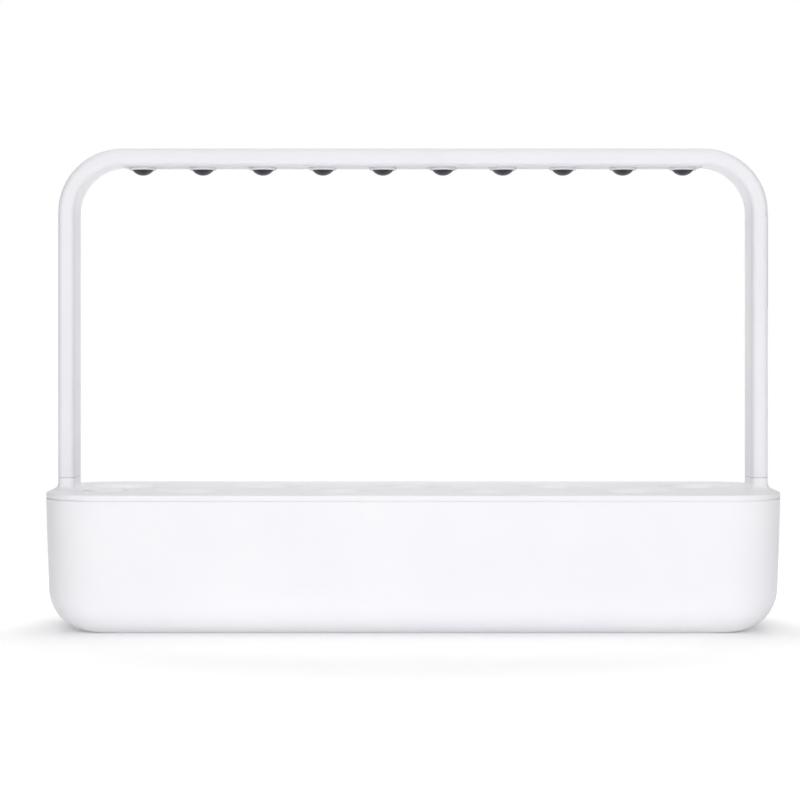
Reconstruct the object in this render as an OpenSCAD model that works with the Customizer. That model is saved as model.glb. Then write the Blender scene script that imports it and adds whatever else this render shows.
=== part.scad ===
// Countertop hydroponic garden: a water tank on four soft feet, a lid that carries nine plant
// cups and a float gauge, and a lamp arch whose two posts plug into sockets moulded on the lid.
// Millimetres. The origin is on the worktop under the middle of the tank; +Z is up, -Y is the
// front and X runs along the tank. Every piece is drawn where it sits when the garden is in use.

/* [Tank] */
// Length of the tank at its rim
tank_length = 612; // [606:1:630]
// Depth of the tank from front to back at its rim
tank_depth = 184; // [180:1:196]
// Height of the tank's rim above the worktop
tank_rim_z = 111.4; // [106:0.2:122]
// Thickness of the tank's walls and floor
tank_wall = 2.5; // [2:0.1:3.2]
// Radius of the tank's upright corners
corner_r = 50; // [46:1:56]
// Radius of the big rounding under the tank's edge
bottom_r = 37; // [30:1:40]
// How far each side leans in between the rim and the rounding
side_draft = 2.2; // [0:0.1:3]
// Diameter of a foot
foot_d = 16; // [12:0.5:20]
// How far the feet hold the tank off the worktop
foot_stand = 0.5; // [0.4:0.1:3]
// Depth of the pocket that a foot is set into
foot_pocket = 1; // [0.6:0.1:1.4]

/* [Lid] */
// Height of the deck above the tank's rim
lid_rise = 5.2; // [4.6:0.1:8]
// Thickness of the deck
deck_thick = 2.6; // [2.2:0.1:3.4]
// Rounding of the deck's outer edge
lid_edge_r = 1.1; // [1:0.1:3]
// How far the skirt reaches down inside the tank
skirt_depth = 7; // [4:0.5:12]
// Thickness of the skirt
skirt_wall = 2; // [1.6:0.1:2.6]
// Clearance between the skirt and the tank's wall
skirt_gap = 0.5; // [0.3:0.05:0.8]
// Height of the shadow groove between the lid and the tank
seam_groove = 0.7; // [0.3:0.1:0.9]
// Depth of the shadow groove between the lid and the tank
seam_depth = 1.1; // [0.6:0.1:1.4]

/* [Plant cups] */
// Distance from the tank's end to the axis of the nearest cup
cup_inset = 60; // [59:0.5:64]
// Distance from that cup to the next one in the back row
cup_pitch = 123; // [118:1:126]
// Distance between the two rows of cups
row_spacing = 62; // [58:1:66]
// Diameter of a cup's rim
cup_rim_d = 64.4; // [58:0.2:66]
// Height of a cup's rim flange
cup_flange = 1.2; // [1:0.1:1.4]
// Radius of the rounded mouth of a cup
cup_lip_r = 7; // [5:0.5:8]
// Diameter of a cup's throat
cup_throat_d = 49; // [44:0.5:49]
// Diameter of a cup's outside at its bottom
cup_bottom_d = 43; // [34:0.5:44]
// Depth of a cup below the deck
cup_depth = 72.6; // [60:0.2:80]
// Wall thickness of a cup
cup_wall = 1.4; // [1.2:0.1:1.8]
// Gap round a cup's rim in the deck
cup_gap = 0.3; // [0.2:0.05:0.5]
// Width of the seat that a cup's flange rests on
cup_seat = 3.6; // [3:0.1:4.5]
// Width of a drain slot
slot_w = 2.4; // [1.6:0.1:3]
// Height of a drain slot
slot_h = 14; // [8:1:20]

/* [Float gauge] */
// Distance from the tank's end to the float's axis
float_inset = 47.5; // [46:0.5:50]
// Distance of the float's axis in front of the middle
float_forward = 29; // [27:0.5:31]
// Diameter of the float
float_d = 38; // [30:0.5:39]
// Height of the float's body
float_h = 22; // [16:1:26]
// Wall thickness of the float
float_wall = 1.6; // [1.2:0.1:2]
// Diameter of the raised disc on the float
float_disc_d = 28; // [20:1:32]
// Height of the raised disc on the float
float_disc_h = 2.4; // [1.5:0.1:3]
// Gap between the float and its tube
float_gap = 0.6; // [0.4:0.05:0.8]
// Wall thickness of the float's tube
tube_wall = 1.8; // [1.4:0.1:2.2]
// How far the float can sink
float_drop = 58; // [40:1:60]

/* [Lamp arch] */
// Height of the top of the lamp arch above the worktop
arch_top_z = 405; // [380:1:440]
// Distance from the tank's end to the outer face of a post
arch_inset = 5.8; // [5.6:0.1:7]
// Thickness of the posts and the bar
arch_thick = 14.1; // [13.7:0.1:14.5]
// Depth of the posts and the bar from front to back
arch_depth = 44; // [43:0.5:46]
// Radius of the rounded edges along the posts and the bar
arch_edge_r = 5; // [4:0.1:5.2]
// Outer radius of the arch's corners
arch_corner_r = 54; // [44:0.5:60]
// Wall thickness of the arch
arch_wall = 1.8; // [1.6:0.1:2]
// Height of a post socket above the deck
socket_rise = 9.9; // [8:0.1:14]
// Radius of the flare where a socket meets the deck
flare_r = 5; // [3.5:0.1:5.8]
// Gap at the seam between a post and its socket
post_seam = 0.3; // [0.25:0.05:0.8]
// Thickness of the tenon below a post
tenon_thick = 9.2; // [8.6:0.1:9.6]
// Depth of the tenon from front to back
tenon_depth = 38; // [34:0.5:39]
// Radius of the tenon's rounded edges
tenon_edge_r = 3; // [2:0.1:3.4]
// Length of the tenon below the seam
tenon_length = 18; // [14:0.5:20]
// Clearance round a tenon in its socket
tenon_gap = 0.3; // [0.2:0.05:0.4]
// Thickness of the floor under a tenon's pocket
socket_floor = 2; // [1.6:0.1:2.6]

/* [Lights] */
// Distance between neighbouring lights
light_pitch = 51.2; // [46:0.1:52]
// Least room between the last light's axis and the start of the arch's bend
light_end = 13; // [12:0.5:15.5]
// Diameter of a lens dome
lens_d = 18.4; // [15:0.1:19]
// How far a lens hangs below the bar
lens_drop = 7.6; // [6:0.1:10]
// Height of a lens's domed end
lens_dome = 4.8; // [3:0.1:5.4]
// Diameter of the flange that holds a lens behind the cover
lens_flange_d = 21; // [20.4:0.1:23]
// Thickness of a lens flange
lens_flange_h = 0.8; // [0.6:0.1:1]
// Wall thickness of a lens
lens_wall = 1.6; // [1.2:0.1:2]
// Diameter of the collar round a lens
collar_d = 23.6; // [23:0.1:26]
// Height of a collar
collar_h = 2.2; // [1.4:0.1:3]
// Width of the plate that closes the bar from below
cover_width = 34; // [32:0.5:34.5]
// Thickness of the plate that closes the bar
cover_thick = 2.4; // [2:0.1:2.8]
// How far that plate stands proud of the bar
cover_proud = 0.8; // [0.4:0.1:1]
// Gap round covers and lenses
trim_gap = 0.25; // [0.15:0.05:0.35]
// Width of the light board
board_width = 27; // [22:0.5:28]
// Thickness of the light board
board_thick = 1.6; // [1.2:0.1:2]
// Distance between the light board and the cover
board_lift = 2.4; // [2:0.1:3]
// Size of a light chip
chip_size = 5; // [3:0.1:6]

/* [Controls] */
// Distance from the start of the arch's bend down to the upper end of the control cover
control_z = 1.5; // [1:0.5:12]
// Length of the control cover
control_length = 101; // [95:1:106]
// How far the control cover wraps round the post's outer edges
control_lip = 4; // [3.5:0.1:4.6]
// Height of the tongue that stands behind the control cover's lower edge
cover_tongue = 1.4; // [1:0.1:1.6]
// How far the control cover stands out from the post
cover_skin = 0.1; // [0.1:0.05:0.3]
// How far the upper panel of the control cover stands out from the post
panel_skin = 0.35; // [0.35:0.05:0.9]
// Height of that panel's lower edge above the cover's lower edge
panel_rise = 22.5; // [18:0.5:30]
// Height of the button above the cover's lower edge
button_rise = 9.8; // [8:0.1:14]
// Diameter of the button
button_d = 6; // [4:0.1:8]
// How far the button stands out
button_proud = 1.3; // [1:0.1:2]
// How far the button can be pressed
button_travel = 0.7; // [0.4:0.05:0.8]
// Height of the power socket above the cover's lower edge
jack_rise = 26; // [24:0.5:34]
// Diameter of the power socket's hole
jack_hole_d = 5.6; // [5.4:0.1:5.8]
// Depth of the power socket's hole
jack_depth = 9.5; // [8:0.1:10]
// Diameter of the power socket's pin
jack_pin_d = 2; // [1.8:0.1:2.1]
// Length of the power socket
jack_length = 18; // [16:0.5:20]
// How far the control board reaches in front of the middle
board_reach = 18; // [16:0.5:18.5]
// Distance from the control board's lower end to its lower screw
board_screw_rise = 24; // [20:1:30]
// Room for the leads above the control board
lead_room = 10; // [8:1:14]
// Length and width of the choke on the control board
choke_size = 12; // [9:0.5:13]
// Diameter of a capacitor on the control board
capacitor_d = 6.3; // [5:0.1:8]

/* [Hidden] */
$fn = 72;
eps = 0.01;

// Tank and lid heights and half distances between the corner centres
cx = tank_length / 2 - corner_r;
cy = tank_depth / 2 - corner_r;
deck_z = tank_rim_z + lid_rise;
deck_under = deck_z - deck_thick;

// Lamp arch: the middle of a post, of a corner and of the bar
post_x = tank_length / 2 - arch_inset - arch_thick / 2;
bend_x = tank_length / 2 - arch_inset - arch_corner_r;
bend_z = arch_top_z - arch_corner_r;
bend_r = arch_corner_r - arch_thick / 2;
socket_z = deck_z + socket_rise;
post_z = socket_z + post_seam;
pocket_z = post_z - tenon_length;
bar_under = arch_top_z - arch_thick;
cavity_thick = arch_thick - 2 * arch_wall;
cavity_depth = arch_depth - 2 * arch_wall;
cavity_edge_r = arch_edge_r - arch_wall;
bar_roof = arch_top_z - arch_wall - 0.2;
cover_top = bar_under - cover_proud + cover_thick;
board_z = cover_top + board_lift;
cover_length = 2 * bend_x - 1;
board_length = cover_length - 4;
light_count = 2 * floor((bend_x - light_end) / light_pitch + 0.5);
lights = [for (i = [0:light_count - 1]) (i - (light_count - 1) / 2) * light_pitch];
screw_pairs = floor((board_length / 2 - 8) / (2 * light_pitch));
screw_x = [for (i = [-screw_pairs:screw_pairs]) i * 2 * light_pitch];

// Cups, back row first, and the float
cup_end = tank_length / 2 - cup_inset;
back_row = [-cup_end, cup_pitch - cup_end, 0, cup_end - cup_pitch, cup_end];
cups = concat([for (x = back_row) [x, row_spacing / 2]],
    [for (i = [0:3]) [(back_row[i] + back_row[i + 1]) / 2, -row_spacing / 2]]);
cup_rim_r = cup_rim_d / 2;
seat_z = deck_z - cup_flange;
cup_bottom = deck_z - cup_depth;
float_x = -tank_length / 2 + float_inset;
float_r = float_d / 2;
float_top = deck_z - 1.4;
float_bottom = float_top - float_h;
tube_r = float_r + float_gap;
tube_bottom = float_bottom - float_drop - 2;

// Controls, all on the right post
control_top = bend_z - control_z;
control_low = control_top - control_length;
button_z = control_low + button_rise;
jack_z = control_low + jack_rise;
cover_inside = post_x + arch_thick / 2 - arch_wall;
lip_x = post_x + arch_thick / 2 - control_lip;
panel_inner = post_x - arch_thick / 2 + arch_wall;
pcb_x = panel_inner + 1.4;
pcb_thick = 1.2;
pcb_face = pcb_x + pcb_thick;
switch_h = 3.4;
plunger_h = 0.8;
button_foot = pcb_face + switch_h + plunger_h + button_travel + 0.1;
jack_y = arch_depth / 2 - 0.1;
pcb_low = control_low + 2;
pcb_high = control_top - lead_room;
pcb_back = jack_y - jack_length - 0.4;
pcb_front = -board_reach;
pcb_screw_z = [pcb_low + board_screw_rise, pcb_high - 5];
wire_d = 1.6;
wire_x = pcb_face + wire_d / 2 + 0.05;

// A block whose outline has round corners and whose edge follows the given (r, z) profile
module edge_sweep() {
    for (k = [0:3])
        translate([[1, -1, -1, 1][k] * cx, [1, 1, -1, -1][k] * cy, 0])
            rotate([0, 0, 90 * k]) rotate_extrude(angle = 90) children();
    for (k = [0, 180]) rotate([0, 0, k]) {
        translate([cx, cy, 0]) rotate([90, 0, 0]) linear_extrude(2 * cy) children();
        translate([-cx, cy, 0]) rotate([90, 0, 90]) linear_extrude(2 * cx) children();
    }
}

module core(z0, z1) {
    translate([-cx, -cy, z0]) cube([2 * cx, 2 * cy, z1 - z0]);
}

// Edge of the tank: leaning side above, quarter round below
module tank_edge(r, z0, z1, round_r) {
    inner = r - side_draft - round_r;
    difference() {
        polygon([[0, z0], [r - side_draft, z0], [r - side_draft, z0 + round_r], [r, z1], [0, z1]]);
        difference() {
            translate([inner, z0 - 1]) square([round_r + 1, round_r + 1]);
            translate([inner, z0 + round_r]) circle(round_r);
        }
    }
}

module water_tank() color([0.95, 0.95, 0.97]) difference() {
    union() {
        edge_sweep() tank_edge(corner_r, foot_stand, tank_rim_z, bottom_r);
        core(foot_stand, tank_rim_z);
    }
    edge_sweep() tank_edge(corner_r - tank_wall, foot_stand + tank_wall, tank_rim_z + 1,
        bottom_r - tank_wall);
    core(foot_stand + tank_wall, tank_rim_z + 1);
    for_feet() translate([0, 0, -eps])
        cylinder(r = foot_d / 2 + 0.05, h = foot_stand + foot_pocket + eps);
}

module for_feet() {
    for (x = [-1, 1], y = [-1, 1])
        translate([x * (tank_length / 2 - corner_r - 4), y * (tank_depth / 2 - corner_r + 1), 0])
            children();
}

module tank_feet() color([0.8, 0.8, 0.82]) for_feet() rotate_extrude()
    polygon([[0, 0], [foot_d / 2 - 0.4, 0], [foot_d / 2, 0.4],
        [foot_d / 2, foot_stand + foot_pocket], [0, foot_stand + foot_pocket]]);

// Edge of the lid: round shoulder, shadow groove, and a skirt that drops inside the tank
module lid_edge() {
    k = corner_r - tank_wall - skirt_gap;
    low = tank_rim_z - skirt_depth;
    g = seam_groove;
    difference() {
        polygon([[0, deck_under], [k - skirt_wall, deck_under], [k - skirt_wall, low],
            [k - 1, low], [k, low + 1.5], [k, tank_rim_z], [corner_r - seam_depth, tank_rim_z],
            [corner_r - seam_depth, tank_rim_z + g], [corner_r, tank_rim_z + g], [corner_r, deck_z],
            [0, deck_z]]);
        difference() {
            translate([corner_r - lid_edge_r, deck_z - lid_edge_r]) square(lid_edge_r + 1);
            translate([corner_r - lid_edge_r, deck_z - lid_edge_r]) circle(lid_edge_r);
        }
    }
}

// Rounded rectangle, thick across X and deep along Y, as a flat shape
module slab(thick, deep, r) {
    square([thick, deep - 2 * r], center = true);
    square([thick - 2 * r, deep], center = true);
    for (k = [0:3]) rotate(90 * k)
        translate([(k % 2 == 0 ? thick : deep) / 2 - r, (k % 2 == 0 ? deep : thick) / 2 - r])
            intersection() {
                circle(r);
                square(2 * r);
            }
}

// Concave fillet in (distance from the wall, height above the floor)
module flare_profile(f) {
    difference() {
        translate([-0.8, -1.6]) square([f + 0.8, f + 1.6]);
        translate([f + 0.12, f + 0.12]) circle(f);
    }
}

// The same fillet round the foot of a post
module flare(thick, deep, r, f) {
    for (k = [0:3]) rotate([0, 0, 90 * k]) {
        x = (k % 2 == 0 ? thick : deep) / 2;
        run = (k % 2 == 0 ? deep : thick) / 2 - r;
        translate([x, run, 0]) rotate([90, 0, 0]) linear_extrude(2 * run) flare_profile(f);
        translate([x - r, run, 0]) rotate_extrude(angle = 90) translate([r, 0]) flare_profile(f);
    }
}

// Lid's outline drawn in by the given inset, one end of it, from deck_z - 1 up
module end_outline(inset, high) {
    r = corner_r - inset;
    for (y = [-1, 1]) translate([cx, y * cy, deck_z - 1]) cylinder(r = r, h = high + 1);
    translate([cx - corner_r, -cy, deck_z - 1]) cube([corner_r + r, 2 * cy, high + 1]);
    translate([cx - corner_r, -cy - r, deck_z - 1]) cube([corner_r, 2 * (cy + r), high + 1]);
}

// Fillet between a post socket and the deck, cut off where the deck ends
module socket_foot() intersection() {
    translate([post_x, 0, deck_z]) flare(arch_thick, arch_depth, arch_edge_r, flare_r);
    end_outline(lid_edge_r - 0.6, socket_rise);
}

module lid() color([0.93, 0.93, 0.96]) difference() {
    union() {
        edge_sweep() lid_edge();
        core(deck_under, deck_z);
        for (k = [0, 180]) rotate([0, 0, k]) {
            socket_foot();
            translate([post_x, 0, pocket_z - socket_floor])
                linear_extrude(socket_z - pocket_z + socket_floor)
                slab(arch_thick, arch_depth, arch_edge_r);
        }
        for (c = cups) translate([c[0], c[1], deck_under - 5])
            cylinder(r = cup_rim_r + cup_gap - cup_seat + 2, h = 5 + eps);
        translate([float_x, -float_forward, tube_bottom])
            cylinder(r = tube_r + tube_wall, h = deck_under - tube_bottom + eps);
    }
    for (c = cups) translate([c[0], c[1], 0]) {
        translate([0, 0, seat_z]) cylinder(r = cup_rim_r + cup_gap, h = deck_thick + 2);
        cylinder(r = cup_rim_r + cup_gap - cup_seat, h = deck_z + 1);
    }
    translate([float_x, -float_forward, 0]) {
        translate([0, 0, tube_bottom + 2]) cylinder(r = tube_r, h = deck_z);
        cylinder(r = tube_r - 4, h = deck_z);
        for (k = [0, 90]) rotate([0, 0, k + 45]) translate([-slot_w, -float_d, tube_bottom + 6])
            cube([2 * slot_w, 2 * float_d, float_drop - 14]);
    }
    for (x = [-1, 1]) translate([x * post_x, 0, pocket_z])
        linear_extrude(socket_z) slab(tenon_thick + 2 * tenon_gap, tenon_depth + 2 * tenon_gap,
            tenon_edge_r + tenon_gap);
}

// Plant cup: flush rim, rounded mouth, tapered wall, drain hole and slots
module cup_profile() {
    throat = cup_throat_d / 2;
    outer = throat + cup_wall;
    neck_z = deck_z - cup_lip_r;
    seat_r = cup_rim_r - cup_seat + 0.1;
    lip_x = throat + cup_lip_r;
    difference() {
        polygon([[0, cup_bottom], [cup_bottom_d / 2, cup_bottom], [outer, neck_z],
            [seat_r, seat_z], [cup_rim_r, seat_z], [cup_rim_r, deck_z], [0, deck_z]]);
        polygon([[-1, cup_bottom + cup_wall], [cup_bottom_d / 2 - cup_wall, cup_bottom + cup_wall],
            [throat, neck_z], [throat, deck_z + 1], [-1, deck_z + 1]]);
        difference() {
            translate([throat - eps, neck_z]) square([cup_lip_r + eps, cup_lip_r + 1]);
            translate([lip_x, neck_z]) circle(cup_lip_r);
        }
    }
}

module plant_cup(n) color([0.9, 0.9, 0.94]) translate([cups[n - 1][0], cups[n - 1][1], 0])
    difference() {
        rotate_extrude() cup_profile();
        translate([0, 0, cup_bottom - 1]) cylinder(d = 8, h = cup_wall + 2);
        for (k = [0:5]) rotate([0, 0, 60 * k])
            translate([cup_bottom_d / 2 - 3 * cup_wall, -slot_w / 2, cup_bottom - 1])
                cube([5 * cup_wall, slot_w, slot_h + 1]);
    }

module plant_cup_1() plant_cup(1);
module plant_cup_2() plant_cup(2);
module plant_cup_3() plant_cup(3);
module plant_cup_4() plant_cup(4);
module plant_cup_5() plant_cup(5);
module plant_cup_6() plant_cup(6);
module plant_cup_7() plant_cup(7);
module plant_cup_8() plant_cup(8);
module plant_cup_9() plant_cup(9);

// Float: an upturned cup with a raised disc on top
module float_gauge() color([0.97, 0.97, 0.98]) translate([float_x, -float_forward, 0])
    rotate_extrude() difference() {
        polygon([[0, float_bottom], [float_r, float_bottom], [float_r, float_top - 1],
            [float_r - 1, float_top], [float_disc_d / 2, float_top],
            [float_disc_d / 2 - 0.8, float_top + float_disc_h - 0.4],
            [float_disc_d / 2 - 3, float_top + float_disc_h], [0, float_top + float_disc_h]]);
        translate([-1, float_bottom - 1])
            square([float_r - float_wall + 1, float_h - float_wall + 1]);
    }

// Runs a flat (thickness, depth) shape through one corner of the arch, from post to bar
module bend_sweep() {
    translate([bend_x, 0, bend_z]) rotate([90, 0, 0]) rotate_extrude(angle = 90)
        translate([bend_r, 0]) children();
}

module bar_run(half) {
    translate([-half, 0, arch_top_z - arch_thick / 2]) rotate([90, 0, 90])
        linear_extrude(2 * half) rotate(90) children();
}

module both_sides() {
    children();
    rotate([0, 0, 180]) children();
}

// Outer side of the right post over the controls, as a cutting block
module control_block() {
    translate([lip_x, -arch_depth, control_low]) cube([arch_thick, 2 * arch_depth, control_length]);
}

module jack_cut(r) {
    translate([post_x, 0, jack_z]) rotate([-90, 0, 0]) cylinder(r = r, h = arch_depth);
}

// Tongue on the post that closes the seam below the control cover from inside
module seam_tongue() intersection() {
    translate([post_x, 0, control_low - 3]) difference() {
        union() {
            linear_extrude(3) slab(cavity_thick + 0.2, cavity_depth + 0.2, cavity_edge_r + 0.1);
            linear_extrude(3 + cover_tongue) slab(cavity_thick - 2 * trim_gap,
                cavity_depth - 2 * trim_gap, cavity_edge_r - trim_gap);
        }
        translate([0, 0, -1]) linear_extrude(10)
            slab(cavity_thick - 2.2, cavity_depth - 2.2, cavity_edge_r - 1.1);
    }
    translate([lip_x, -arch_depth / 2, control_low - 4]) cube([arch_thick, arch_depth, 10]);
}

module lamp_arch() color([0.95, 0.95, 0.97]) {
    arch_shell();
    seam_tongue();
    // Two bosses that carry the control board
    for (z = pcb_screw_z) translate([panel_inner - eps, pcb_front + 4, z]) rotate([0, 90, 0])
        difference() {
            cylinder(d = 5, h = pcb_x - panel_inner + eps);
            translate([0, 0, -1]) cylinder(d = 2.5, h = arch_thick);
        }
}

module arch_shell() difference() {
    union() {
        both_sides() {
            translate([post_x, 0, post_z]) linear_extrude(bend_z - post_z)
                slab(arch_thick, arch_depth, arch_edge_r);
            bend_sweep() slab(arch_thick, arch_depth, arch_edge_r);
            translate([post_x, 0, pocket_z]) linear_extrude(tenon_length + eps)
                slab(tenon_thick, tenon_depth, tenon_edge_r);
        }
        bar_run(bend_x) slab(arch_thick, arch_depth, arch_edge_r);
    }
    both_sides() {
        translate([post_x, 0, post_z + 4]) linear_extrude(bend_z - post_z - 4)
            slab(cavity_thick, cavity_depth, cavity_edge_r);
        bend_sweep() slab(cavity_thick, cavity_depth, cavity_edge_r);
    }
    // Chamber for the light board, with a rebate for the cover and a roof on five bosses
    difference() {
        translate([-bend_x, -cover_width / 2 + arch_wall, bar_under - 1])
            cube([2 * bend_x, cover_width - 2 * arch_wall, bar_roof - bar_under + 1]);
        for (x = screw_x) translate([x, 0, board_z + board_thick]) cylinder(d = 6, h = arch_thick);
    }
    translate([-cover_length / 2 - trim_gap, -cover_width / 2 - trim_gap, bar_under - 1])
        cube([cover_length + 2 * trim_gap, cover_width + 2 * trim_gap, cover_top - bar_under + 1]);
    for (x = screw_x) translate([x, 0, board_z]) cylinder(d = 2.5, h = bar_roof - board_z);
    for (z = pcb_screw_z) translate([panel_inner - 0.9, pcb_front + 4, z]) rotate([0, 90, 0])
        cylinder(d = 2.5, h = 2);
    control_block();
    jack_cut(4);
}

// Plate under the bar, with one hole for each lens
module bar_cover() color([0.86, 0.86, 0.89]) difference() {
    translate([-cover_length / 2, -cover_width / 2, bar_under - cover_proud])
        cube([cover_length, cover_width, cover_thick]);
    for (x = lights) translate([x, 0, bar_under - cover_proud - 1])
        cylinder(r = lens_d / 2 + trim_gap, h = cover_thick + 2);
}

module lens_collars() color([0.88, 0.88, 0.9]) for (x = lights)
    translate([x, 0, bar_under - cover_proud]) rotate_extrude() {
        hole = lens_d / 2 + trim_gap;
        polygon([[hole, 0], [hole, -collar_h + 0.4], [hole + 0.4, -collar_h],
            [collar_d / 2 - 0.8, -collar_h], [collar_d / 2, -collar_h + 1], [collar_d / 2, 0]]);
    }

// Lens: flange above the cover, straight neck, domed end, hollow for the chip's light
module lens_body(r, low, high, dome) {
    big = (r * r + dome * dome) / (2 * dome);
    intersection() {
        translate([0, 0, low + big]) sphere(big);
        translate([0, 0, low - 1]) cylinder(r = r, h = high - low + 1);
    }
    translate([0, 0, low + dome]) cylinder(r = r, h = high - low - dome);
}

module lenses() color([0.2, 0.19, 0.2]) {
    low = bar_under - lens_drop;
    for (x = lights) translate([x, 0, 0]) difference() {
        union() {
            lens_body(lens_d / 2, low, cover_top + lens_flange_h, lens_dome);
            translate([0, 0, cover_top]) cylinder(d = lens_flange_d, h = lens_flange_h);
        }
        translate([0, 0, low + 2.6]) cylinder(r1 = lens_d / 2 - lens_wall - 1.6,
            r2 = lens_d / 2 - lens_wall, h = cover_top + lens_flange_h - low - 2.6 + eps);
    }
}

module light_board() color([0.9, 0.9, 0.88]) difference() {
    translate([-board_length / 2, -board_width / 2, board_z])
        cube([board_length, board_width, board_thick]);
    for (x = screw_x) translate([x, 0, board_z - 1]) cylinder(d = 2.8, h = board_thick + 2);
}

module light_chips() color([0.98, 0.9, 0.55]) for (x = lights)
    translate([x - chip_size / 2, -chip_size / 2, board_z - 1]) cube([chip_size, chip_size, 1]);

// Pan-head screw with a cross recess, head down, pointing up
module board_screw(reach) {
    difference() {
        union() {
            translate([0, 0, -1.4]) cylinder(d = 4.6, h = 1.4);
            cylinder(d = 2.4, h = reach);
        }
        for (k = [0, 90]) rotate([0, 0, k]) translate([-1.3, -0.3, -2]) cube([2.6, 0.6, 1.3]);
    }
}

module board_screws() color([0.7, 0.7, 0.72]) {
    for (x = screw_x) translate([x, 0, board_z]) board_screw(bar_roof - board_z - 0.3);
    for (z = pcb_screw_z) translate([pcb_face, pcb_front + 4, z]) rotate([0, -90, 0])
        board_screw(pcb_x - panel_inner + pcb_thick + 0.6);
}

// Outer side of the right post, which closes the controls; its upper panel stands out further
module control_cover() color([0.96, 0.96, 0.97]) difference() {
    intersection() {
        union() {
            cover_part(control_low + trim_gap, control_length - 2 * trim_gap, cover_skin);
            cover_part(control_low + panel_rise, control_length - panel_rise - trim_gap, panel_skin);
        }
        control_block();
    }
    translate([post_x, 0, control_low - 1]) linear_extrude(control_length + 2)
        slab(cavity_thick, cavity_depth, cavity_edge_r);
    jack_cut(4);
    translate([post_x, 0, button_z]) rotate([0, 90, 0])
        cylinder(d = button_d + 2 * 0.2, h = arch_thick);
}

module cover_part(low, high, skin) {
    translate([post_x, 0, low]) linear_extrude(high)
        slab(arch_thick + 2 * skin, arch_depth + 2 * skin, arch_edge_r + skin);
}

// Push button: domed cap, retaining flange, foot that meets the switch
module light_button() color([0.85, 0.85, 0.88]) translate([0, 0, button_z]) rotate([0, 90, 0])
    rotate_extrude() {
        r = button_d / 2;
        out = post_x + arch_thick / 2 + cover_skin + button_proud;
        polygon([[0, button_foot], [1.5, button_foot], [1.5, cover_inside - 0.9],
            [r + 1.2, cover_inside - 0.9], [r + 1.2, cover_inside - 0.1], [r, cover_inside - 0.1],
            [r, out - 0.5], [r - 0.5, out - 0.12], [r - 1.4, out], [0, out]]);
    }

module button_switch() color([0.15, 0.15, 0.16]) translate([pcb_face, 0, button_z]) {
    translate([0, -3, -3]) cube([switch_h, 6, 6]);
    rotate([0, 90, 0]) cylinder(d = 3.2, h = switch_h + plunger_h);
}

module control_board() color([0.12, 0.35, 0.2]) difference() {
    translate([pcb_x, pcb_front, pcb_low]) cube([pcb_thick, pcb_back - pcb_front, pcb_high - pcb_low]);
    for (z = pcb_screw_z) translate([pcb_x - 1, pcb_front + 4, z]) rotate([0, 90, 0])
        cylinder(d = 2.8, h = pcb_thick + 2);
}

// Choke, two capacitors and the driver chip on the control board
module board_parts() color([0.2, 0.2, 0.22]) {
    mid = (pcb_low + pcb_high) / 2;
    translate([pcb_face, -choke_size / 2, mid + 2]) cube([4.2, choke_size, choke_size]);
    translate([pcb_face, pcb_front + 6, mid - 6]) cube([1.4, 6, 5]);
    for (k = [0, 1])
        translate([pcb_face, pcb_front + 8 + k * (capacitor_d + 3.7), mid + 2 * choke_size])
            rotate([0, 90, 0]) cylinder(d = capacitor_d, h = 5.4);
}

// Barrel socket in the back edge of the post: body, nose, hole and centre pin
module power_socket() color([0.1, 0.1, 0.11]) {
    translate([post_x, 0, jack_z]) difference() {
        union() {
            translate([-cavity_thick / 2, jack_y - jack_length, -5.5])
                cube([cavity_thick - 0.1, jack_length - 6.4, 11]);
            rotate([-90, 0, 0]) translate([0, 0, jack_y - 8]) cylinder(r = 3.8, h = 8);
        }
        rotate([-90, 0, 0]) translate([0, 0, jack_y - jack_depth])
            cylinder(d = jack_hole_d, h = jack_depth + 1);
    }
    translate([post_x, jack_y - jack_depth - 0.5, jack_z]) rotate([-90, 0, 0])
        cylinder(d = jack_pin_d, h = jack_depth - 1);
}

// Two leads from the control board, up the post and round the bend to the light board
module lead_wires() color([0.7, 0.1, 0.1]) for (y = [-2, 2]) {
    start = pcb_high - 4;
    translate([wire_x, y, start]) cylinder(d = wire_d, h = bend_z - start);
    translate([bend_x, 0, bend_z]) rotate([90, 0, 0]) rotate_extrude(angle = 90)
        translate([wire_x - bend_x, -y]) circle(d = wire_d);
    translate([board_length / 2, y, bend_z + wire_x - bend_x]) rotate([0, 90, 0])
        cylinder(d = wire_d, h = bend_x - board_length / 2);
}

water_tank();
tank_feet();
lid();
plant_cup_1();
plant_cup_2();
plant_cup_3();
plant_cup_4();
plant_cup_5();
plant_cup_6();
plant_cup_7();
plant_cup_8();
plant_cup_9();
float_gauge();
lamp_arch();
bar_cover();
lens_collars();
lenses();
light_board();
light_chips();
board_screws();
control_cover();
light_button();
button_switch();
control_board();
board_parts();
power_socket();
lead_wires();
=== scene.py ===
"""Countertop hydroponic garden, dressed for a picture: finishes, floor, lamps and camera.

Metres, in the frame of the solids: +Z is up, -Y is the front and X runs along the tank.
"""

import math

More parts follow.
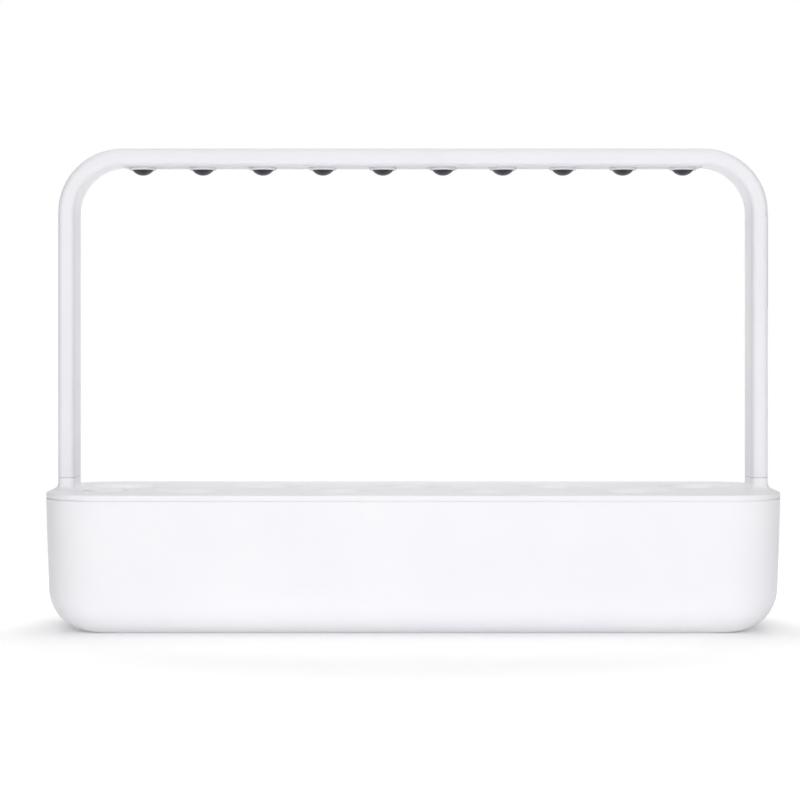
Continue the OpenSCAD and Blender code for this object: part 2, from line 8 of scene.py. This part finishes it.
import bmesh
import bpy
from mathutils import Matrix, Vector


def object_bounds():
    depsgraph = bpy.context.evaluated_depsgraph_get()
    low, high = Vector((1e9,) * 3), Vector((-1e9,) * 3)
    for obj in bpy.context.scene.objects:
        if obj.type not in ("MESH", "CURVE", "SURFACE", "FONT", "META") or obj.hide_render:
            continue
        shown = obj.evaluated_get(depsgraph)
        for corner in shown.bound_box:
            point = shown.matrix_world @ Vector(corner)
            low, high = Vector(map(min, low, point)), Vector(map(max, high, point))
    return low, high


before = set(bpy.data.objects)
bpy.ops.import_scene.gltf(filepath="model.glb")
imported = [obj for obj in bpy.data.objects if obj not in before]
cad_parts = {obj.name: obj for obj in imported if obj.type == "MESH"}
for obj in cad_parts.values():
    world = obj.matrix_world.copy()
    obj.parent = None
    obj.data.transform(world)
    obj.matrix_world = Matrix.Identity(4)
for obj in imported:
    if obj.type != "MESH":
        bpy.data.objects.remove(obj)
solid_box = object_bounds()
scene = bpy.context.scene

# Camera: a long lens a little above the deck, level, its picture shifted down to the table
CAMERA_PLACE = (-0.011, -1.934, 0.243)
CAMERA_LENS = 101.9
CAMERA_SHIFT = -0.075

# Moulded plastic: scales of its patterns in waves per metre, heights of its relief in metres
CLOUD_SCALE = 9
HANDLED_SCALE = 38
RIPPLE_SCALE = 70
RIPPLE_HEIGHT = 0.00002
GRAIN_SCALE = 2600
GRAIN_HEIGHT = 0.00003

# Lenses: the distance from one to the next, the rings left by the mould, in radians per metre,
# their height, and the distances from the axis over which the dark middle turns into a lighter
# edge, a painted reflection
LENS_PITCH = 0.0512
RING_SCALE = 9000
RING_HEIGHT = 0.00001
LENS_RIM_PAINTED_REFLECTION = (0.003, 0.0085)

# Boards: printed tracks and plated holes per metre, and their height
TRACK_SCALE = 160
VIA_SCALE = 230
TRACK_HEIGHT = 0.00004

# Table top: half its length, and the light of its own that the camera sees near the object,
# further out and, on top of that, painted light under the tank that lightens the tank's shadow
# there
TABLE_REACH = 7
TABLE_COLOUR = (0.97, 0.97, 0.975, 1)
GLOW_NEAR = 0.21
GLOW_FURTHER = 0.15
PAINTED_LIGHT_UNDER = 0.22

# Distances from the middle of the table top over which it glows more, and over which it turns white
FURTHER_OUT = (0.25, 0.45)
ALL_WHITE = (0.36, 1.0)

# How far in from the tank's ends and front the painted light under the tank, which lightens its
# shadow, starts
PAINTED_LIGHT_ENDS_INSET = (0.066, 0.036)
PAINTED_LIGHT_FRONT_INSET = (0.036, 0.0335)

# Room: its light on the object, the parts of a unit direction over which its left and right
# sides and its upper half grow dimmer, and the shares that they lose, also as gloss shows them
ROOM_LIGHT = 0.3
SIDES_FROM = (0.4, 0.9)
UPPER_FROM = (0.0, 0.3)
SIDE_LOSS = 0.65
MIRRORED_SIDE_LOSS = 0.45
MIRRORED_UPPER_LOSS = 0.4

WHITE = (1, 1, 1, 1)


class Wire:
    """The value on one output of a node; arithmetic on it adds Math nodes."""

    def __init__(self, nodes, socket):
        self.nodes, self.socket = nodes, socket

    def maths(self, operation, *values):
        return self.nodes.node("ShaderNodeMath", {"operation": operation}, dict(enumerate(values)))

    def __add__(self, other):
        return self.maths("ADD", self, other)

    def __sub__(self, other):
        return self.maths("SUBTRACT", self, other)

    def __rsub__(self, other):
        return self.maths("SUBTRACT", other, self)

    def __mul__(self, other):
        return self.maths("MULTIPLY", self, other)

    def __truediv__(self, other):
        return self.maths("DIVIDE", self, other)

    def __rtruediv__(self, other):
        return self.maths("DIVIDE", other, self)

    __radd__ = __add__
    __rmul__ = __mul__

    def sine(self):
        return self.maths("SINE", self)

    def root(self):
        return self.maths("SQRT", self)

    def size(self):
        return self.maths("ABSOLUTE", self)

    def fraction(self):
        return self.maths("FRACT", self)

    def wider(self, other):
        return self.maths("MAXIMUM", self, other)

    def clamped(self):
        return self.nodes.node("ShaderNodeClamp", {}, {0: self})


class Nodes:
    """A node tree, with one way to add any node to it."""

    def __init__(self, tree):
        self.tree = tree

    def node(self, kind, settings=None, inputs=None, output=0):
        made = self.tree.nodes.new(kind)
        for name, value in (settings or {}).items():
            setattr(made, name, value)
        for name, value in (inputs or {}).items():
            self.join(made.inputs[name], value)
        return Wire(self, made.outputs[output])

    def join(self, socket, value):
        if isinstance(value, Wire):
            self.tree.links.new(value.socket, socket)
        else:
            socket.default_value = value

    def end(self, name, surface):
        """Joins a surface or a background to the tree's output node."""
        self.join(self.tree.nodes[name].inputs["Surface"], surface)

    def along(self, axis, place):
        return self.node("ShaderNodeSeparateXYZ", {}, {0: place}, axis)

    def step(self, value, low, high):
        """0 below low and 1 above high, smooth between."""
        return self.node(
            "ShaderNodeMapRange",
            {"interpolation_type": "SMOOTHSTEP"},
            {0: value, 1: low, 2: high},
        )

    def either(self, factor, first, second):
        """Mixes two shaders: the first where factor is 0 and the second where it is 1."""
        return self.node("ShaderNodeMixShader", {}, {0: factor, 1: first, 2: second})

    def ray(self, *kinds):
        """1 on rays of any of the given kinds."""
        found = self.node("ShaderNodeLightPath", output=kinds[0])
        for kind in kinds[1:]:
            found = found.wider(self.node("ShaderNodeLightPath", output=kind))
        return found


def linear(red, green, blue):
    """A colour given as it looks on a screen, 0 to 255, in the values that a shader takes."""
    parts = [c / 255 for c in (red, green, blue)]
    return tuple(c / 12.92 if c <= 0.04045 else ((c + 0.055) / 1.055) ** 2.4 for c in parts) + (1,)


class Finish(Nodes):
    """A material: a Principled shader whose steady values are set once, and its patterns."""

    def __init__(self, name, **steady):
        self.material = bpy.data.materials.new(name)
        self.material.use_nodes = True
        super().__init__(self.material.node_tree)
        self.shader = self.tree.nodes["Principled BSDF"]
        for socket, value in steady.items():
            self.shader.inputs[socket.replace("_", " ")].default_value = value
        self.place = self.node("ShaderNodeTexCoord", output="Object")

    def put(self, socket, value):
        self.join(self.shader.inputs[socket], value)

    def noise(self, scale, detail, stretch=(1, 1, 1)):
        where = self.node("ShaderNodeMapping", {}, {"Vector": self.place, "Scale": stretch})
        return self.node(
            "ShaderNodeTexNoise", {}, {"Vector": where, "Scale": scale, "Detail": detail}
        )

    def cells(self, scale):
        return self.node("ShaderNodeTexVoronoi", {}, {"Vector": self.place, "Scale": scale})

    def between(self, amount, first, second):
        """A colour that goes from first to second as amount goes from 0 to 1."""
        sockets = {0: amount, 6: first, 7: second}
        return self.node("ShaderNodeMix", {"data_type": "RGBA"}, sockets, 2)

    def relief(self, height, depth, strength, under=None):
        """Bump whose full height is depth metres, on top of the relief under it."""
        sockets = {"Height": height, "Distance": depth, "Strength": strength}
        if under is not None:
            sockets["Normal"] = under
        return self.node("ShaderNodeBump", {}, sockets)


def dress(finish, *names):
    """Puts a finish on the solids of the named pieces."""
    for name in names:
        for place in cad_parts[name].material_slots:
            place.material = finish.material


def moulded(name, colour, shade, rough, grain=GRAIN_SCALE):
    """Injection-moulded plastic: a fine eroded grain over a very slight waviness."""
    finish = Finish(name, IOR=1.46, Specular_IOR_Level=0.5)
    cloud = finish.noise(CLOUD_SCALE, 3)
    fine = finish.noise(grain, 1)
    handled = finish.noise(HANDLED_SCALE, 4)
    tone = finish.step(cloud * 0.8 + fine * 0.2, 0.3, 0.7)
    finish.put("Base Color", finish.between(tone, colour, shade))
    finish.put("Roughness", rough + (handled - 0.5) * 0.09 + (fine - 0.5) * 0.05)
    ripple = finish.relief(finish.noise(RIPPLE_SCALE, 2), RIPPLE_HEIGHT, 0.5)
    finish.put("Normal", finish.relief(fine, GRAIN_HEIGHT, 0.5, ripple))
    return finish


def soft_rubber():
    """Grey rubber, dulled by scuffs."""
    finish = Finish("foot_rubber", IOR=1.5)
    speck = finish.noise(3200, 2)
    scuff = finish.step(finish.noise(240, 3), 0.45, 0.75)
    finish.put("Base Color", finish.between(scuff, linear(196, 196, 200), linear(178, 178, 184)))
    finish.put("Roughness", 0.72 + scuff * 0.12)
    finish.put("Normal", finish.relief(speck, 0.00005, 0.8))
    return finish


def smoked_lens():
    """Dark polycarbonate with faint moulded rings round each lens, and a painted reflection that
    lightens the rim of each dome.
    """
    finish = Finish("smoked_lens", IOR=1.4, Specular_IOR_Level=0.3)
    turn = (finish.along("X", finish.place) / LENS_PITCH).fraction() - 0.5
    forward = finish.along("Y", finish.place)
    reach = (turn * turn * (LENS_PITCH * LENS_PITCH) + forward * forward).root()
    rings = (reach * RING_SCALE).sine()
    haze = finish.noise(500, 3)
    # Painted reflection: the base colour turns lighter toward each dome's rim, where it would
    # mirror the room
    rim_painted_reflection = finish.step(reach, *LENS_RIM_PAINTED_REFLECTION)
    finish.put("Base Color", finish.between(rim_painted_reflection, linear(38, 37, 42), linear(58, 57, 62)))
    finish.put("Roughness", 0.3 + haze * 0.1)
    finish.put("Normal", finish.relief(rings, RING_HEIGHT, 0.35))
    return finish


def board_lacquer(name, lacquer, copper, rough):
    """Solder resist over printed tracks."""
    finish = Finish(name, IOR=1.5)
    slanted = finish.along("X", finish.place) + finish.along("Z", finish.place)
    across = (slanted * TRACK_SCALE).fraction()
    broken = finish.step(finish.noise(60, 1), 0.42, 0.5)
    track = finish.step((across - 0.5).size(), 0.36, 0.42) * broken
    via = 1 - finish.step(finish.cells(VIA_SCALE), 0.1, 0.16)
    finish.put("Base Color", finish.between((track * 0.6 + via * 0.7).clamped(), lacquer, copper))
    finish.put("Roughness", rough + finish.noise(900, 2) * 0.12)
    finish.put("Normal", finish.relief(track + via * 0.5, TRACK_HEIGHT, 0.8))
    return finish


def phosphor():
    """Yellow phosphor, as grainy as it is cast over a chip."""
    finish = Finish("chip_phosphor", IOR=1.45)
    grain = finish.noise(6000, 2)
    finish.put("Base Color", finish.between(grain, linear(238, 214, 110), linear(224, 190, 78)))
    finish.put("Roughness", 0.5 + grain * 0.2)
    finish.put("Normal", finish.relief(grain, 0.00003, 0.7))
    return finish


def zinc_steel():
    """Zinc-plated steel, streaked along the screws."""
    finish = Finish("screw_zinc", Metallic=1.0)
    streak = finish.noise(4200, 3, (1, 1, 0.15))
    finish.put("Base Color", finish.between(streak, linear(196, 198, 204), linear(168, 170, 178)))
    finish.put("Roughness", 0.3 + streak * 0.18)
    finish.put("Normal", finish.relief(streak, 0.00001, 0.6))
    return finish


def nylon(name, dark, light):
    """Plain moulded nylon, mottled a little between two tones."""
    finish = Finish(name, IOR=1.52)
    grain = finish.noise(2400, 2)
    finish.put("Base Color", finish.between(finish.noise(160, 2), dark, light))
    finish.put("Roughness", 0.5 + grain * 0.15)
    finish.put("Normal", finish.relief(grain, 0.00004, 0.7))
    return finish


def dress_outside():
    """Finishes of the pieces that show."""
    shell = moulded("shell_satin_white", linear(246, 245, 248), linear(243, 242, 246), 0.35)
    lamp = moulded("lamp_satin_white", linear(239, 238, 242), linear(236, 236, 240), 0.35)
    cup = moulded("cup_white", linear(250, 250, 252), linear(246, 246, 249), 0.5, 1900)
    float_skin = moulded("float_white", linear(250, 250, 252), linear(246, 246, 249), 0.4, 1500)
    # Painted shade: the bar cover and lens collars under the bar get a greyer copy of the lamp
    # white
    trim_painted_shade = moulded("lamp_trim_painted_shade", linear(224, 224, 228), linear(220, 220, 225), 0.6)
    button = moulded("button_grey", linear(226, 226, 230), linear(220, 220, 225), 0.6, 2200)
    dress(shell, "water_tank", "lid")
    dress(lamp, "lamp_arch", "control_cover")
    dress(cup, *[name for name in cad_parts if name.startswith("plant_cup_")])
    dress(float_skin, "float_gauge")
    dress(trim_painted_shade, "bar_cover", "lens_collars")
    dress(button, "light_button")
    dress(soft_rubber(), "tank_feet")
    dress(smoked_lens(), "lenses")


def dress_inside():
    """Finishes of the pieces inside the lamp."""
    white_board = board_lacquer(
        "light_board_white", linear(232, 233, 230), linear(214, 208, 190), 0.35
    )
    green_board = board_lacquer(
        "control_board_green", linear(28, 92, 58), linear(58, 128, 80), 0.3
    )
    black = nylon("black_nylon", linear(30, 30, 32), linear(40, 40, 43))
    red = nylon("lead_insulation", linear(176, 30, 32), linear(150, 24, 28))
    dress(white_board, "light_board")
    dress(green_board, "control_board")
    dress(phosphor(), "light_chips")
    dress(zinc_steel(), "board_screws")
    dress(black, "button_switch", "board_parts", "power_socket")
    dress(red, "lead_wires")


def table_finish():
    """White far from the object; near it a pale colour that takes the object's shadow, with painted
    light under the tank that lightens that shadow.
    """
    finish = Finish(
        "table_top_white", Base_Color=TABLE_COLOUR, Roughness=0.9, Specular_IOR_Level=0.1
    )
    seen = finish.ray("Is Camera Ray", "Is Glossy Ray", "Is Transmission Ray")
    away = finish.node("ShaderNodeVectorMath", {"operation": "LENGTH"}, {0: finish.place}, "Value")
    half_length, half_depth = solid_box[1].x, solid_box[1].y
    past_ends = finish.step(
        finish.along("X", finish.place).size(), *[half_length - inset for inset in PAINTED_LIGHT_ENDS_INSET]
    )
    past_front = finish.step(
        finish.along("Y", finish.place).size(), *[half_depth - inset for inset in PAINTED_LIGHT_FRONT_INSET]
    )
    # Painted light: the floor under the tank glows more to the camera, lightening the tank's shadow
    # there
    under = (1 - past_ends) * (1 - past_front)
    glow = GLOW_NEAR + finish.step(away, *FURTHER_OUT) * GLOW_FURTHER + under * PAINTED_LIGHT_UNDER

    def emission(strength):
        return finish.node("ShaderNodeEmission", {}, {"Color": WHITE, "Strength": strength})

    plain = Wire(finish, finish.shader.outputs[0])
    lit = finish.node("ShaderNodeAddShader", {}, {0: plain, 1: emission(seen * glow)})
    white_share = seen * finish.step(away, *ALL_WHITE)
    finish.end("Material Output", finish.either(white_share, lit, emission(1.0)))
    return finish


def table_top():
    """A pale table top that runs out of the picture."""
    shape = bmesh.new()
    bmesh.ops.create_grid(shape, x_segments=8, y_segments=8, size=TABLE_REACH)
    mesh = bpy.data.meshes.new("table_top")
    shape.to_mesh(mesh)
    shape.free()
    mesh.materials.append(table_finish().material)
    made = bpy.data.objects.new("table_top", mesh)
    scene.collection.objects.link(made)


def surround():
    """A soft room round the table, dimmer to the left and right, and white to the camera."""
    world = bpy.data.worlds.new("studio")
    world.use_nodes = True
    scene.world = world
    sky = Nodes(world.node_tree)
    aim = sky.node("ShaderNodeTexCoord", output="Generated")
    side = sky.step(sky.along("X", aim).size(), *SIDES_FROM)
    upper = sky.step(sky.along("Z", aim), *UPPER_FROM)

    def background(strength):
        return sky.node("ShaderNodeBackground", {}, {"Color": WHITE, "Strength": strength})

    fill = background(ROOM_LIGHT * (1 - side * SIDE_LOSS))
    mirrored = background(1 - side * MIRRORED_SIDE_LOSS - upper * MIRRORED_UPPER_LOSS)
    room = sky.either(sky.ray("Is Glossy Ray"), fill, mirrored)
    seen = sky.ray("Is Camera Ray", "Is Transmission Ray")
    sky.end("World Output", sky.either(seen, room, background(1.0)))


def softbox(name, place, target, size, power):
    """A flat lamp at place, turned towards target, that neither shows nor is mirrored."""
    light = bpy.data.lights.new(name, "AREA")
    light.shape = "RECTANGLE"
    light.size, light.size_y = size
    light.energy = power
    made = bpy.data.objects.new(name, light)
    made.visible_camera = False
    made.visible_glossy = False
    made.location = place
    made.rotation_euler = (Vector(target) - Vector(place)).to_track_quat("-Z", "Y").to_euler()
    scene.collection.objects.link(made)


def lamps():
    """A wide lamp in front, one overhead, a small one behind and one low along the table."""
    softbox("front_softbox", place=(0.15, -3.2, 0.9), target=(0, 0, 0.2), size=(2.2, 1.0), power=54)
    softbox("top_softbox", place=(0, 0.4, 3.0), target=(0, 0, 0.1), size=(3.0, 2.4), power=38)
    softbox("rear_softbox", place=(0, 0.7, 0.35), target=(0, 0, 0.25), size=(0.5, 0.4), power=2.8)
    softbox(
        "low_softbox", place=(0, -0.758, 0.0006), target=(0, -0.758, 1), size=(2.4, 1.4), power=1.27
    )


def put_camera():
    """A level camera that looks along +Y."""
    lens = bpy.data.cameras.new("camera")
    lens.sensor_width = 36
    lens.lens = CAMERA_LENS
    lens.shift_y = CAMERA_SHIFT
    lens.clip_end = 50
    camera = bpy.data.objects.new("camera", lens)
    scene.collection.objects.link(camera)
    camera.location = CAMERA_PLACE
    camera.rotation_euler = (math.radians(90), 0, 0)
    scene.camera = camera


put_camera()
dress_outside()
dress_inside()
table_top()
surround()
lamps()

scene.view_settings.view_transform = "Standard"
